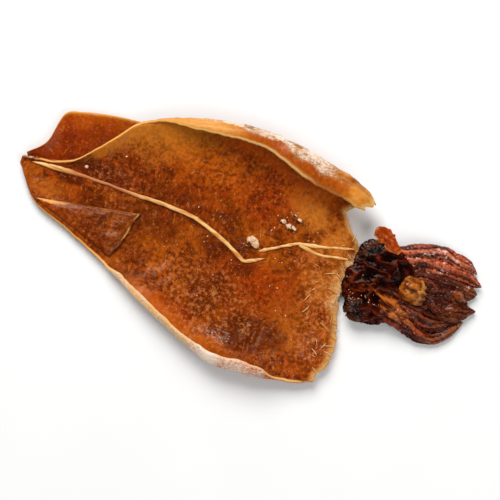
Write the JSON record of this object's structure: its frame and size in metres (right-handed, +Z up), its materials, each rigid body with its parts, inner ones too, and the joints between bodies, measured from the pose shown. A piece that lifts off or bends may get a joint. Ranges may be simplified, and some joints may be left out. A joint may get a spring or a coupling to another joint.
{
  "type": "dried squid",
  "caption": "Whole dried squid, slit and opened flat with its inside up: a thin curled mantle with a raised pen line, tail fins, and a shrunken head with arms and tentacles.",
  "frame": {"origin": "middle of the squid's footprint, on the surface that it lies on", "axes": "+X from the tail to the tips of the arms, +Y across the mantle towards its rolled edge, +Z up, out of the mantle's inside"},
  "size_m": [0.169, 0.0828, 0.014],
  "materials": {
    "dried_flesh": "dried mantle flesh, amber to red brown, half clear, with a soft gloss and white bloom at its rolled edges"
  },
  "bodies": {
    "root": {"dried_squid": "dried_flesh"}
  },
  "joints": []
}
